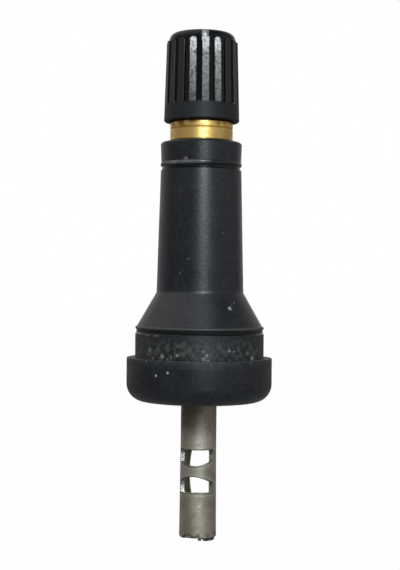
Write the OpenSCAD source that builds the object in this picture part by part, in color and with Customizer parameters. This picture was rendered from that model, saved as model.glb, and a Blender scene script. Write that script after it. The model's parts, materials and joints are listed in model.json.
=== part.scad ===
// Snap-in tyre valve for a wheel with a pressure sensor.
// Rubber body on a brass stem, fluted screw cap, spring-loaded valve core inside the stem,
// and a windowed metal tail that carries the sensor and lets the air in.
// Millimetres. The axis is Z, the cap is at the top, and z = 0 is the flange's sealing face,
// where the wheel rim rests.

/* [Rubber flange and neck] */
// Diameter of the flange that seals against the rim
flange_d = 17.96; // [17:0.02:20]
// Thickness of the flange, below the sealing face
flange_h = 5.4; // [4.5:0.05:7]
// Rounding of the flange's lower edge
flange_round = 2.2; // [0.8:0.05:2.6]
// Rounding of the flange's upper edge
flange_edge = 0.12; // [0.05:0.01:0.3]
// Diameter of the neck that fills the rim hole
neck_d = 15.9; // [13:0.05:16.5]
// Height of the neck, from the sealing face to the groove
neck_h = 2.95; // [2.5:0.05:5]
// Height of the groove under the lip
lip_groove_h = 0.52; // [0.3:0.02:0.8]
// Depth of the groove under the lip
lip_groove_depth = 0.14; // [0.05:0.01:0.2]
// Radius of the lip's round edge
lip_r = 0.2; // [0.1:0.01:0.3]

/* [Rubber cone, column and collar] */
// Height of the cone from the lip to the column
cone_h = 4.55; // [3:0.05:7]
// Rounding of the corner between the cone and the column
cone_fillet = 0.9; // [0.2:0.05:1.5]
// Diameter of the column where the cone ends
column_base_d = 10.74; // [9.9:0.02:12]
// Diameter of the column under the collar
column_top_d = 9.97; // [9.2:0.01:10.6]
// Height of the tapered column
column_h = 15.44; // [12:0.02:24]
// Diameter of the collar at its foot
collar_base_d = 9.86; // [9.2:0.02:10.4]
// Diameter of the collar at its top
collar_top_d = 10.04; // [9.4:0.02:10.6]
// Height of the collar
collar_h = 3.04; // [2:0.02:4]
// Chamfer of the collar's upper edge
collar_chamfer = 0.2; // [0.05:0.01:0.4]
// Radius of the moulded bead at the collar's foot
bead_r = 0.32; // [0.15:0.01:0.4]
// How far the bead stands out of the collar's foot
bead_proud = 0.1; // [0.02:0.01:0.14]
// Height of the groove under the bead
bead_groove_h = 0.42; // [0.2:0.02:0.6]
// Depth of the groove under the bead
bead_groove_depth = 0.14; // [0.03:0.01:0.2]

/* [Brass stem] */
// Diameter of the stem's plain rings and of the thread's crests
stem_d = 7.74; // [7.4:0.01:7.8]
// Length of the stem that stands out of the rubber
stem_out = 10.7; // [9.5:0.05:12]
// Height of the plain ring that shows above the collar
ring_h = 1.55; // [1:0.05:1.8]
// Height of the turned line between the two rings
ring_line_h = 0.22; // [0.1:0.01:0.4]
// Depth of the turned line between the two rings
ring_line_depth = 0.11; // [0.05:0.01:0.2]
// Height of the upper ring, where the thread runs out
runout_h = 1.05; // [0.6:0.05:1.5]
// Depth of the cap thread
thread_depth = 0.46; // [0.3:0.01:0.5]
// Chamfer round the outside of the stem's mouth
mouth_chamfer = 0.35; // [0.2:0.01:0.4]
// Chamfer round the inside of the stem's mouth
mouth_lead = 0.2; // [0.1:0.01:0.25]
// Diameter of the stem inside the rubber
shank_d = 6.8; // [6.2:0.05:7]
// Length of the stem below the sealing face
shank_foot = 1.5; // [0.5:0.05:3]
// Depth to which the plain ring reaches into the collar
ring_sink = 1.0; // [0.5:0.05:2]
// How far the ridges that grip the rubber stand out
ridge_proud = 0.3; // [0.1:0.02:0.45]
// Number of ridges that grip the rubber
ridge_count = 4; // [2:1:5]
// Height of one ridge
ridge_h = 1.2; // [0.6:0.05:1.6]
// Share of a ridge's height that each of its slopes takes
ridge_slope = 0.33; // [0.2:0.01:0.45]
// Distance from one ridge to the next
ridge_pitch = 4.4; // [3:0.1:4.5]
// Diameter of the air passage in the stem
passage_d = 3.5; // [3:0.05:3.8]
// Length of the socket that holds the tail
socket_h = 6.0; // [4:0.1:8]

/* [Tail] */
// Diameter of the tail below the flange
tail_d = 4.41; // [4.1:0.01:4.6]
// Diameter of the tail at its lower end
tail_end_d = 4.56; // [4.1:0.01:4.9]
// Diameter of the spigot that holds the tail in the rubber and the stem
spigot_d = 4.0; // [3.9:0.02:4.1]
// Room between the flange and the tail's shoulder
shoulder_gap = 0.12; // [0.08:0.01:0.3]
// Air bore of the tail, from the stem to the windows
tail_bore_d = 3.3; // [3.2:0.02:3.4]
// Bore for the sensor's screw, at the tail's lower end
screw_bore_d = 2.9; // [2.6:0.02:3]
// Depth of the bore for the sensor's screw
screw_bore_h = 4.7; // [4:0.05:4.9]
// Length of the tail below the sealing face
tail_h = 22.1; // [20:0.1:26]
// Height of the chamfer at the tail's lower end
tail_chamfer_h = 0.14; // [0.06:0.02:0.6]
// Width of the chamfer at the tail's lower end
tail_chamfer_w = 0.1; // [0.04:0.02:0.3]
// Distance of the windows' upper edge from the sealing face
window_drop = 11.25; // [9:0.05:12]
// Height of each window
window_h = 2.0; // [1.4:0.05:2.2]
// Height of the band between the two windows
window_land = 1.25; // [0.8:0.05:2]
// Radius of each window's curved edge
window_arc_r = 2.9; // [2.6:0.05:4]
// Half of the angle that each window takes of the wall
window_half_angle = 69; // [45:1:70]
// Direction of the windows round the axis
window_turn = -106; // [-180:1:180]
// Width of the slot in the wall behind the windows, at its upper end
slot_w = 1.76; // [1.4:0.02:2.2]
// How far each side of the slot bulges out at the lower window's upper edge
slot_belly = 0.48; // [0.1:0.02:0.6]
// Direction of the slot, from the point opposite the windows
slot_turn = 6; // [-10:1:10]
// How far the slot runs past the windows at each end
slot_over = 0.6; // [0.2:0.05:1]
// How far the burr hangs below the tail's end
burr_h = 0.26; // [0.1:0.02:0.5]
// Angle of the wall that the burr takes
burr_angle = 44; // [15:1:60]
// Direction of the burr round the axis
burr_turn = -43; // [-180:1:180]
// How far the small tooth beside the burr hangs below the tail's end
tooth_h = 0.18; // [0.05:0.01:0.4]
// Angle of the wall that the tooth takes
tooth_angle = 9; // [4:1:20]
// Direction of the tooth round the axis
tooth_turn = -83; // [-180:1:180]
// Height of the worn dip in the tail's end
dip_h = 0.12; // [0.05:0.01:0.4]
// Angle of the wall that the dip takes
dip_angle = 52; // [10:1:70]
// Direction of the dip round the axis
dip_turn = -116; // [-180:1:180]

/* [Cap] */
// Height of the cap
cap_h = 10.87; // [10.5:0.05:12]
// Diameter of the cap at its lower edge
cap_base_d = 9.32; // [9.1:0.02:11]
// Diameter over the ribs at their upper ends
cap_rib_top_d = 8.76; // [8.7:0.02:10.5]
// Height of the plain band below the ribs
cap_band_h = 1.92; // [1:0.05:3]
// Height of the plain shoulder above the ribs
cap_shoulder_h = 1.05; // [0.6:0.05:1.5]
// Rounding of the cap's upper edge
cap_round = 0.8; // [0.1:0.02:0.9]
// Chamfer of the cap's lower outside edge
cap_edge = 0.12; // [0.05:0.01:0.2]
// Number of ribs round the cap
rib_count = 18; // [12:1:24]
// Width of one rib's crest
rib_w = 0.82; // [0.4:0.01:0.9]
// Depth of the valleys between the ribs
rib_depth = 0.26; // [0.1:0.01:0.28]
// Share of a valley's width that its flat floor takes
valley_floor = 0.6; // [0.2:0.05:0.9]
// Direction of the first rib round the axis
rib_turn = 15.5; // [0:0.5:30]
// Thickness of the cap's roof
cap_roof = 1.95; // [1.2:0.05:2.2]
// Room between the stem's thread crests and the cap's bore
cap_clearance = 0.055; // [0.02:0.005:0.1]
// Lead-in chamfer at the cap's mouth
cap_lead = 0.2; // [0.05:0.01:0.3]
// Thickness of the seal under the cap's roof
cap_seal_h = 0.8; // [0.5:0.05:1.2]
// Hole in the seal, over the valve core's pin
cap_seal_hole_d = 3.2; // [2:0.1:4]

/* [Valve core] */
// Diameter of the core's chamber in the stem
chamber_d = 5.2; // [5:0.02:5.4]
// Diameter of the throat below the core's taper
throat_d = 4.1; // [3.9:0.02:4.4]
// Height of the taper that the gasket seals on
taper_h = 2.7; // [2.4:0.05:3.5]
// Distance of the core's bridge from the stem's mouth
core_drop = 0.5; // [0.3:0.05:1]
// Height of the bridge that turns the core
bridge_h = 1.4; // [1:0.05:2]
// Width of the bridge that turns the core
bridge_w = 1.5; // [1.4:0.05:2.2]
// Height of the threaded plug
plug_h = 2.3; // [1.8:0.05:3]
// Diameter of the air hole in the plug
plug_hole_d = 2.9; // [2.4:0.05:3.4]
// Height of the barrel's head
head_h = 1.4; // [1:0.05:2]
// Diameter of the barrel's head
head_d = 4.4; // [4.2:0.02:4.6]
// Diameter of the barrel
barrel_d = 3.4; // [3.2:0.02:3.5]
// Length of the barrel with its head
barrel_h = 9.3; // [8.8:0.1:10.5]
// Bore of the barrel round the spring
barrel_bore_d = 2.5; // [2.4:0.02:2.7]
// Height of the gasket round the barrel
gasket_h = 1.8; // [1.4:0.05:2]
// Height of the bead below the gasket
stop_h = 0.5; // [0.3:0.05:0.7]
// Diameter of the bead below the gasket
stop_d = 3.8; // [3.5:0.02:3.9]
// Thickness of the seat at the barrel's lower end
seat_h = 0.9; // [0.6:0.05:1.2]
// Hole in the seat
seat_hole_d = 1.7; // [1.4:0.05:1.8]
// Diameter of the pin
pin_d = 1.0; // [0.8:0.02:1.1]
// Distance of the pin's tip from the stem's mouth
pin_drop = 0.25; // [0.1:0.05:0.3]
// Height of the collar on the pin
pin_collar_h = 0.4; // [0.3:0.05:0.6]
// Diameter of the collar on the pin
pin_collar_d = 2.2; // [2:0.02:2.3]
// Height of the riveted foot of the pin
pin_foot_h = 0.35; // [0.2:0.05:0.6]
// Diameter of the riveted foot of the pin
pin_foot_d = 1.6; // [1.3:0.05:2]
// Length of the spring while the valve is shut
spring_h = 6.2; // [5.4:0.05:6.4]
// Mean diameter of the spring
spring_d = 1.84; // [1.76:0.02:1.9]
// Diameter of the spring wire
wire_d = 0.26; // [0.2:0.01:0.3]
// Turns of the spring
spring_turns = 8; // [6:1:9]
// Closed turns at each end of the spring
end_turns = 1; // [1:1:2]
// Diameter of the cup
cup_d = 3.2; // [3:0.02:3.4]
// Height of the cup
cup_h = 1.2; // [1:0.05:1.6]
// Wall of the cup
cup_wall = 0.14; // [0.1:0.01:0.2]
// Floor of the cup
cup_floor = 0.5; // [0.3:0.05:0.6]
// Height of the cup's seal above its rim
cup_seal_proud = 0.35; // [0.2:0.05:0.6]

/* [Fits] */
// Film between the rubber and the metal it is bonded to
bond_film = 0.02; // [0.01:0.005:0.04]
// Room round a piece that is pressed or screwed into another
tight_fit = 0.02; // [0.01:0.005:0.04]
// Room round a piece that slides or seals lightly
loose_fit = 0.06; // [0.03:0.005:0.1]

/* [Hidden] */
$fn = 96;

// Spare length of a cutting shape beyond the face that it cuts
over = 1;

// Heights along the rubber body
lip_z = neck_h + lip_groove_h;
column_z = lip_z + cone_h;
collar_z = column_z + column_h;
rubber_top = collar_z + collar_h;

// Heights along the stem
stem_top = rubber_top + stem_out;
ring_top = rubber_top + ring_h;
upper_ring_z = ring_top + ring_line_h;
runout_top = upper_ring_z + runout_h;
ring_foot = rubber_top - ring_sink;
socket_top = socket_h - shank_foot;

// Radii of the stem
stem_r = stem_d / 2;
thread_root_r = stem_r - thread_depth;
shank_r = shank_d / 2;
ridge_r = shank_r + ridge_proud;

// Heights along the valve core, from the stem's mouth down
bridge_top = stem_top - core_drop;
plug_top = bridge_top - bridge_h;
head_top = plug_top - plug_h;
gasket_top = head_top - head_h;
gasket_foot = gasket_top - gasket_h;
barrel_foot = head_top - barrel_h;
seat_top = barrel_foot + seat_h;
pin_collar_z = seat_top + spring_h;
cup_top = barrel_foot - cup_seal_proud;
cup_foot = cup_top - cup_h;
pin_foot = cup_foot - pin_foot_h;

// The stem's taper starts a little above the gasket and its throat runs on below the pin
taper_lead = 0.3;
taper_top = gasket_top + taper_lead;
taper_foot = taper_top - taper_h;
throat_spare = 2.5;
throat_foot = pin_foot - throat_spare;
throat_step = (throat_d - passage_d) / 2;

// Heights along the tail, below the sealing face
tail_top = -flange_h - shoulder_gap;
tail_foot = -tail_h;
screw_bore_top = tail_foot + screw_bore_h;
upper_window_top = -window_drop;
lower_window_foot = upper_window_top - 2 * window_h - window_land;
slot_top = upper_window_top + slot_over;
slot_foot = lower_window_foot - slot_over;

// Heights along the cap
cap_roof_z = stem_top + cap_seal_h;
cap_top = cap_roof_z + cap_roof;
cap_foot = cap_top - cap_h;
rib_foot = cap_foot + cap_band_h;
rib_top = cap_top - cap_shoulder_h;
cap_bore_r = stem_r + cap_clearance;
// Step from the floor of the valleys in to the shoulder
rib_end_flat = 0.04;
cap_shoulder_r = cap_rib_top_d / 2 - rib_depth - rib_end_flat;
cap_taper = (cap_base_d - cap_rib_top_d) / 2 / (rib_top - cap_foot);

// Colours of the pieces
black_plastic = "#1d1d1f";
black_rubber = "#26282b";
soft_rubber = "#3a3a3c";
yellow_brass = "#c49a45";
grey_metal = "#8f8d84";
red_gasket = "#8c3b2e";
bright_steel = "#b9bcc0";

// Radius of the stem's sealing taper at height z
function taper_radius(z) =
  chamber_d / 2 - (taper_top - z) * (chamber_d - throat_d) / 2 / taper_h;

// Outline of the ridges that grip the rubber, from the lowest up
function ridge_points(film) = [
  for (i = [0 : ridge_count - 1])
    for (corner = [[0, 0], [ridge_proud, ridge_slope], [ridge_proud, 1 - ridge_slope], [0, 1]])
      [shank_r + film + corner[0], lip_z + i * ridge_pitch + corner[1] * ridge_h]
];

// Outline of the stem's outside, from its foot to its mouth, grown by the bonding film
function stem_points(film) = concat(
  [[0, -shank_foot - film], [shank_r + film, -shank_foot - film]],
  ridge_points(film),
  [
    [shank_r + film, ring_foot - (stem_r - shank_r)],
    [stem_r + film, ring_foot],
    [stem_r + film, ring_top],
    [stem_r + film - ring_line_depth, ring_top + ring_line_h / 2],
    [stem_r + film, upper_ring_z],
    [stem_r + film, runout_top - thread_depth],
    [thread_root_r + film, runout_top],
    [thread_root_r + film, stem_top - mouth_chamfer],
    [thread_root_r + film - mouth_chamfer, stem_top],
    [0, stem_top]
  ]
);

// Half section of a round block whose upper outside corner is rounded
module crowned_section(r, low, high, crown) {
  translate([0, low])
    square([r, high - low - crown]);
  translate([0, low])
    square([r - crown, high - low]);
  translate([r - crown, high - crown])
    circle(r = crown);
}

// Round tube between two heights
module tube(outer_d, inner_d, low, high) {
  difference() {
    translate([0, 0, low])
      cylinder(d = outer_d, h = high - low);
    translate([0, 0, low - over])
      cylinder(d = inner_d, h = high - low + 2 * over);
  }
}

// Wedge of a circle round the axis, centred on +X
module wedge(half_angle, reach, low, high) {
  far = reach / cos(half_angle);
  translate([0, 0, low])
    linear_extrude(height = high - low)
      polygon([[0, 0], far * [cos(half_angle), -sin(half_angle)],
        far * [cos(half_angle), sin(half_angle)]]);
}

// Outside of the cap over its ribs, with the plain shoulder on top
module cap_envelope() {
  rotate_extrude() {
    polygon([
      [0, cap_foot],
      [cap_base_d / 2 - cap_edge, cap_foot],
      [cap_base_d / 2 - cap_edge * cap_taper, cap_foot + cap_edge],
      [cap_rib_top_d / 2, rib_top],
      [0, rib_top]
    ]);
    crowned_section(cap_shoulder_r, cap_foot + cap_band_h, cap_top, cap_round);
  }
}

// Valley between two ribs, centred on +X, with sloping sides and a floor that follows the cap's taper
module valley_cut() {
  half_pitch = 180 / rib_count;
  middle_r = (cap_base_d + cap_rib_top_d) / 4;
  half_w = (middle_r * sin(half_pitch) - rib_w / 2) / cos(half_pitch);
  half_floor = valley_floor * half_w;
  half_mouth = half_floor + (half_w - half_floor) * over / rib_depth;
  translate([cap_base_d / 2 - rib_depth - cap_taper * cap_band_h, 0, rib_foot])
    rotate([0, -atan(cap_taper), 0])
      linear_extrude(height = rib_top - rib_foot + cap_round)
        polygon([[0, -half_floor], [over, -half_mouth], [over, half_mouth], [0, half_floor]]);
}

// Corners trimmed off the upper end of the rib on +X, to leave it round
module rib_end_cut() {
  floor_r = cap_rib_top_d / 2 - rib_depth + rib_end_flat / 2;
  translate([0, 0, rib_top + rib_end_flat - rib_w / 2])
    difference() {
      translate([floor_r, -rib_w, 0])
        cube([over, 2 * rib_w, rib_w]);
      rotate([0, 90, 0])
        cylinder(d = rib_w, h = cap_base_d);
    }
}

// Fluted screw cap with its bore
module cap_shell() {
  color(black_plastic)
    difference() {
      cap_envelope();
      for (i = [0 : rib_count - 1])
        rotate([0, 0, rib_turn + i * 360 / rib_count]) {
          rib_end_cut();
          rotate([0, 0, 180 / rib_count])
            valley_cut();
        }
      translate([0, 0, cap_foot - over])
        cylinder(r = cap_bore_r, h = cap_roof_z - cap_foot + over);
      translate([0, 0, cap_foot - over])
        cylinder(r1 = cap_bore_r + cap_lead + over, r2 = cap_bore_r, h = cap_lead + over);
    }
}

// Flat seal between the stem's mouth and the cap's roof
module cap_seal() {
  color(soft_rubber)
    tube(2 * (cap_bore_r - loose_fit), cap_seal_hole_d, stem_top, cap_roof_z);
}

// Half section of the flange, with its large lower and small upper rounding
module flange_section() {
  crowned_section(flange_d / 2, flange_round - flange_h, 0, flange_edge);
  translate([0, -flange_h])
    square([flange_d / 2 - flange_round, flange_h]);
  translate([flange_d / 2 - flange_round, flange_round - flange_h])
    circle(r = flange_round);
}

// Points of the hollow rounding between the cone and the column, from the cone up
function cone_fillet_points() =
  let (cone_lean = atan((neck_d - column_base_d) / 2 / cone_h))
  let (column_lean = atan((column_base_d - column_top_d) / 2 / column_h))
  let (reach = cone_fillet * tan((cone_lean - column_lean) / 2))
  let (start = [column_base_d / 2 + reach * sin(cone_lean), column_z - reach * cos(cone_lean)])
  let (middle = start + cone_fillet * [cos(cone_lean), sin(cone_lean)])
  let (steps = 6)
  [
    for (i = [0 : steps])
      let (lean = cone_lean + (column_lean - cone_lean) * i / steps)
      middle - cone_fillet * [cos(lean), sin(lean)]
  ];

// Outside of the rubber: flange, neck, lip, cone, column, bead and collar
module rubber_outside() {
  lip_groove_r = neck_d / 2 - lip_groove_depth;
  bead_groove_r = column_top_d / 2 - bead_groove_depth;
  rotate_extrude()
    flange_section();
  rotate_extrude()
    polygon(concat(
      [
        [0, -flange_edge],
        [neck_d / 2, -flange_edge],
        [neck_d / 2, neck_h],
        [lip_groove_r, neck_h + lip_groove_depth],
        [lip_groove_r, lip_z],
        [neck_d / 2 - lip_r / 2, lip_z + lip_r]
      ],
      cone_fillet_points(),
      [
        [column_top_d / 2, collar_z - bead_groove_h],
        [bead_groove_r, collar_z - bead_groove_h + bead_groove_depth],
        [bead_groove_r, collar_z],
        [collar_base_d / 2, collar_z + bead_r],
        [collar_top_d / 2, rubber_top - collar_chamfer],
        [collar_top_d / 2 - collar_chamfer, rubber_top],
        [0, rubber_top]
      ]
    ));
  rotate_extrude()
    translate([neck_d / 2 - lip_r, lip_z + lip_r])
      circle(r = lip_r);
  rotate_extrude()
    translate([collar_base_d / 2 + bead_proud - bead_r, collar_z + bead_r])
      circle(r = bead_r);
}

// Rubber body, moulded round the stem and the tail
module rubber_body() {
  color(black_rubber)
    difference() {
      rubber_outside();
      rotate_extrude()
        polygon(stem_points(bond_film));
      translate([0, 0, -flange_h - over])
        cylinder(r = spigot_d / 2 + bond_film, h = flange_h + over);
    }
}

// Brass stem with its core chamber, sealing taper, air passage and tail socket
module brass_stem() {
  color(yellow_brass)
    difference() {
      rotate_extrude()
        polygon(stem_points(0));
      rotate_extrude()
        polygon([
          [0, -shank_foot - over],
          [spigot_d / 2 + tight_fit, -shank_foot - over],
          [spigot_d / 2 + tight_fit, socket_top],
          [passage_d / 2, socket_top],
          [passage_d / 2, throat_foot - throat_step],
          [throat_d / 2, throat_foot],
          [throat_d / 2, taper_foot],
          [chamber_d / 2, taper_top],
          [chamber_d / 2, stem_top - mouth_lead],
          [chamber_d / 2 + mouth_lead + over, stem_top + over],
          [0, stem_top + over]
        ]);
    }
}

// One window in the tail's wall: a flat edge at z = 0 and a curved edge below it
module window_cut() {
  reach = tail_end_d;
  intersection() {
    wedge(window_half_angle, reach, -window_h - over, over);
    rotate([90, 0, 90])
      linear_extrude(height = reach)
        intersection() {
          translate([0, window_arc_r - window_h])
            circle(r = window_arc_r);
          translate([-reach, -window_h - over])
            square([2 * reach, window_h + over]);
        }
  }
}

// Tall slot through the wall behind the windows, with sides that bulge out
module slot_cut() {
  belly_z = lower_window_foot + window_h;
  rise = slot_top - belly_z;
  side_r = (rise * rise + slot_belly * slot_belly) / 2 / slot_belly;
  side_y = side_r - slot_w / 2 - slot_belly;
  rotate([90, 0, -90])
    linear_extrude(height = tail_end_d)
      intersection() {
        translate([-tail_end_d, slot_foot])
          square([2 * tail_end_d, slot_top - slot_foot]);
        translate([side_y, belly_z])
          circle(r = side_r);
        translate([-side_y, belly_z])
          circle(r = side_r);
      }
}

// Scrap of metal that was left hanging below the tail's end
module end_burr(turn, angle, drop) {
  intersection() {
    translate([0, 0, tail_foot - drop])
      cylinder(r = tail_end_d / 2 - tail_chamfer_w, h = drop + tail_chamfer_h);
    rotate([0, 0, turn])
      wedge(angle / 2, tail_end_d / 2, tail_foot - drop, tail_foot + tail_chamfer_h);
  }
}

// Outside of the tail: spigot, shoulder, flared and chamfered end, and the scraps below it
module tail_outside() {
  rotate_extrude()
    polygon([
      [0, socket_top],
      [spigot_d / 2, socket_top],
      [spigot_d / 2, tail_top],
      [tail_d / 2, tail_top],
      [tail_d / 2, upper_window_top],
      [tail_end_d / 2, tail_foot + tail_chamfer_h],
      [tail_end_d / 2 - tail_chamfer_w, tail_foot],
      [0, tail_foot]
    ]);
  end_burr(burr_turn, burr_angle, burr_h);
  end_burr(tooth_turn, tooth_angle, tooth_h);
}

// Metal tail that carries the sensor, with its air windows and ragged end
module tail_tube() {
  color(grey_metal)
    difference() {
      tail_outside();
      translate([0, 0, screw_bore_top])
        cylinder(d = tail_bore_d, h = socket_top - screw_bore_top + over);
      translate([0, 0, tail_foot - burr_h - over])
        cylinder(d = screw_bore_d, h = screw_bore_h + burr_h + 2 * over);
      rotate([0, 0, window_turn]) {
        translate([0, 0, upper_window_top])
          window_cut();
        translate([0, 0, lower_window_foot])
          mirror([0, 0, 1])
            window_cut();
        rotate([0, 0, slot_turn])
          slot_cut();
      }
      rotate([0, 0, dip_turn])
        wedge(dip_angle / 2, tail_end_d, tail_foot - over, tail_foot + dip_h);
    }
}

// Threaded plug of the valve core, with the bridge that a key turns
module core_plug() {
  plug_d = chamber_d - 2 * tight_fit;
  color(yellow_brass) {
    tube(plug_d, plug_hole_d, head_top, plug_top);
    difference() {
      intersection() {
        translate([0, 0, plug_top])
          cylinder(d = plug_d - 2 * mouth_lead, h = bridge_h);
        translate([-chamber_d / 2, -bridge_w / 2, plug_top])
          cube([chamber_d, bridge_w, bridge_h]);
      }
      translate([0, 0, plug_top - over])
        cylinder(d = pin_d + 2 * loose_fit, h = bridge_h + 2 * over);
    }
  }
}

// Barrel of the valve core: head, gasket groove, stop bead and the seat at its foot
module core_barrel() {
  color(yellow_brass)
    difference() {
      union() {
        translate([0, 0, barrel_foot])
          cylinder(d = barrel_d, h = barrel_h);
        translate([0, 0, gasket_top])
          cylinder(d = head_d, h = head_h);
        translate([0, 0, gasket_foot - stop_h])
          cylinder(d = stop_d, h = stop_h);
      }
      translate([0, 0, seat_top])
        cylinder(d = barrel_bore_d, h = barrel_h);
      translate([0, 0, barrel_foot - over])
        cylinder(d = seat_hole_d, h = seat_h + 2 * over);
    }
}

// Tapered gasket that seals the barrel in the stem
module core_gasket() {
  inner_r = barrel_d / 2 + tight_fit;
  color(red_gasket)
    rotate_extrude()
      polygon([
        [inner_r, gasket_foot],
        [taper_radius(gasket_foot) - tight_fit, gasket_foot],
        [taper_radius(gasket_top) - tight_fit, gasket_top],
        [inner_r, gasket_top]
      ]);
}

// Height of the spring's wire after a number of turns: closed end turns, open turns between
function wire_rise(turn) =
  let (open_turns = spring_turns - 2 * end_turns)
  let (free = spring_h - (2 * end_turns + 1) * wire_d - 2 * tight_fit)
  let (closed = min(turn, end_turns) + max(turn - end_turns - open_turns, 0))
  let (opened = min(max(turn - end_turns, 0), open_turns))
  tight_fit + wire_d / 2 + wire_d * closed + free * opened / open_turns;

// Spring that lifts the pin and shuts the valve
module core_spring() {
  steps = 20;
  sides = 6;
  last = steps * spring_turns;
  wire_points = [
    for (i = [0 : last])
      for (k = [0 : sides - 1])
        let (turn = i * 360 / steps, side = k * 360 / sides)
        let (r = spring_d / 2 + wire_d / 2 * cos(side))
        [r * cos(turn), r * sin(turn), seat_top + wire_rise(i / steps) + wire_d / 2 * sin(side)]
  ];
  wire_faces = [
    for (i = [0 : last - 1])
      for (k = [0 : sides - 1])
        let (next = (k + 1) % sides, here = i * sides, there = here + sides)
        [here + k, here + next, there + next, there + k]
  ];
  end_faces = [
    [for (k = [sides - 1 : -1 : 0]) k],
    [for (k = [0 : sides - 1]) last * sides + k]
  ];
  color(bright_steel)
    polyhedron(points = wire_points, faces = concat(wire_faces, end_faces));
}

// Pin that opens the valve, with the spring's collar and a riveted foot
module core_pin() {
  color(bright_steel) {
    translate([0, 0, pin_foot])
      cylinder(d = pin_d, h = stem_top - pin_drop - pin_foot);
    translate([0, 0, pin_foot])
      cylinder(d = pin_foot_d, h = pin_foot_h);
    translate([0, 0, pin_collar_z])
      cylinder(d = pin_collar_d, h = pin_collar_h);
  }
}

// Cup that holds the valve's rubber seal
module core_cup() {
  color(yellow_brass)
    difference() {
      tube(cup_d, pin_d + 2 * tight_fit, cup_foot, cup_top);
      translate([0, 0, cup_foot + cup_floor])
        cylinder(d = cup_d - 2 * cup_wall, h = cup_h);
    }
}

// Rubber seal that shuts against the barrel's foot
module core_cup_seal() {
  seal_d = cup_d - 2 * cup_wall - 2 * tight_fit;
  color(soft_rubber)
    tube(seal_d, pin_d + 2 * tight_fit, cup_foot + cup_floor, barrel_foot);
}

cap_shell();
cap_seal();
rubber_body();
brass_stem();
tail_tube();
core_plug();
core_barrel();
core_gasket();
core_spring();
core_pin();
core_cup();
core_cup_seal();
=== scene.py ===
# %% [markdown]
# # A snap-in tyre valve
# The valve comes from CAD as a fixed frame: twelve solids in metres, on four bodies that move.
# The solids already have the right shape and place, so this lesson gives each of them its finish,
# and adds what is too fine for the solids: screw threads, a smooth spring and a moulding nib. The
# rubber body is also turned again in finer steps, so that its highlights run evenly.

# %% Load the frame and keep its box
import json
import math

import bpy
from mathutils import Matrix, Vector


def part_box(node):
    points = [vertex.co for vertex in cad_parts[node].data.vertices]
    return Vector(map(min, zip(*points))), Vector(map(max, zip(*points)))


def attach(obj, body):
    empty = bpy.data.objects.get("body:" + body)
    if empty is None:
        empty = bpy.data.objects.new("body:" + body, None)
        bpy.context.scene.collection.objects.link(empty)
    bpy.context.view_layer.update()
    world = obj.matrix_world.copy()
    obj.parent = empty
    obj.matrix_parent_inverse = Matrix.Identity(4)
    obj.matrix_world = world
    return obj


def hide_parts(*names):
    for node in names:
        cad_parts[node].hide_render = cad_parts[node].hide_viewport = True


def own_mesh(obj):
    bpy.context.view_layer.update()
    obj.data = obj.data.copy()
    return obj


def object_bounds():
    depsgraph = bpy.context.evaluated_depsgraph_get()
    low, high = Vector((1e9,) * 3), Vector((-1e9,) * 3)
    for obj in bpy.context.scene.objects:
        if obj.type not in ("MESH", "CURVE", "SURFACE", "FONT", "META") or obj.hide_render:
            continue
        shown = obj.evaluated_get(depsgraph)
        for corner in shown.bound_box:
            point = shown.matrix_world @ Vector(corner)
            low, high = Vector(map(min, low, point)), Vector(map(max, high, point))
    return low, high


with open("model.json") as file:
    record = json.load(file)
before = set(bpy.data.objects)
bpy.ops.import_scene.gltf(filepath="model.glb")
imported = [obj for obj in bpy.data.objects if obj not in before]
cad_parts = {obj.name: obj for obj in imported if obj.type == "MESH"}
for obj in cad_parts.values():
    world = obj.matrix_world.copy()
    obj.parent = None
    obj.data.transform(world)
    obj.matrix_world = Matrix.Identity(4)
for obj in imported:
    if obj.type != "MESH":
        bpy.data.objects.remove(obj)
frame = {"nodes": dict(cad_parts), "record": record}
cad_box = [list(corner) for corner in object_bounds()]
nodes = frame["nodes"]

# %% [markdown]
# ## Camera
# The valve was photographed upright, from the side, with the lens level with the foot of its column.
# The cap is seen a little from below and the flange a little from above, so the view has perspective.
# A focal length in pixels of the 400 by 570 frame says how strong that is. With the scale in pixels
# per metre at the axis it also gives the distance, so only these two values need tuning.

# %% Place the camera
FRAME_HEIGHT = 570
SENSOR = 36.0
FOCAL = 1250.0
PIXELS_PER_METRE = 8080.0
EYE_HEIGHT = 0.00895
LEAN = math.radians(0.58)
NEAREST = 0.005

eye = bpy.data.cameras.new("eye")
eye.sensor_fit = "VERTICAL"
eye.sensor_height = SENSOR
eye.lens = FOCAL * SENSOR / FRAME_HEIGHT
eye.clip_start = NEAREST
camera = bpy.data.objects.new("eye", eye)
camera.location = (0, -FOCAL / PIXELS_PER_METRE, EYE_HEIGHT)
camera.rotation_euler = (math.pi / 2, -LEAN, 0)
bpy.context.scene.collection.objects.link(camera)
bpy.context.scene.camera = camera
bpy.context.scene.view_settings.view_transform = "Standard"
print("camera distance %.1f mm, lens %.1f mm" % (-camera.location.y * 1000, eye.lens))

# %% [markdown]
# ## Nodes by name
# Every finish below is a small net of shader nodes. Two helpers keep the nets short: one adds a node
# and sets its sockets, the other joins an output to an input. An input is named or numbered, since
# some nodes have several sockets with the same name.

# %% Two helpers for node nets
def add_node(tree, kind, sockets=None, **settings):
    """A new node with its settings, and with fixed values on the sockets named in sockets."""
    node = tree.nodes.new("ShaderNode" + kind)
    for key, value in settings.items():
        setattr(node, key, value)
    for key, value in (sockets or {}).items():
        node.inputs[key].default_value = value
    return node


def join(tree, source, output, target, socket):
    """A link from one node's output to another node's input."""
    tree.links.new(source.outputs[output], target.inputs[socket])


print("helpers:", add_node.__name__, join.__name__)

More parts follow.
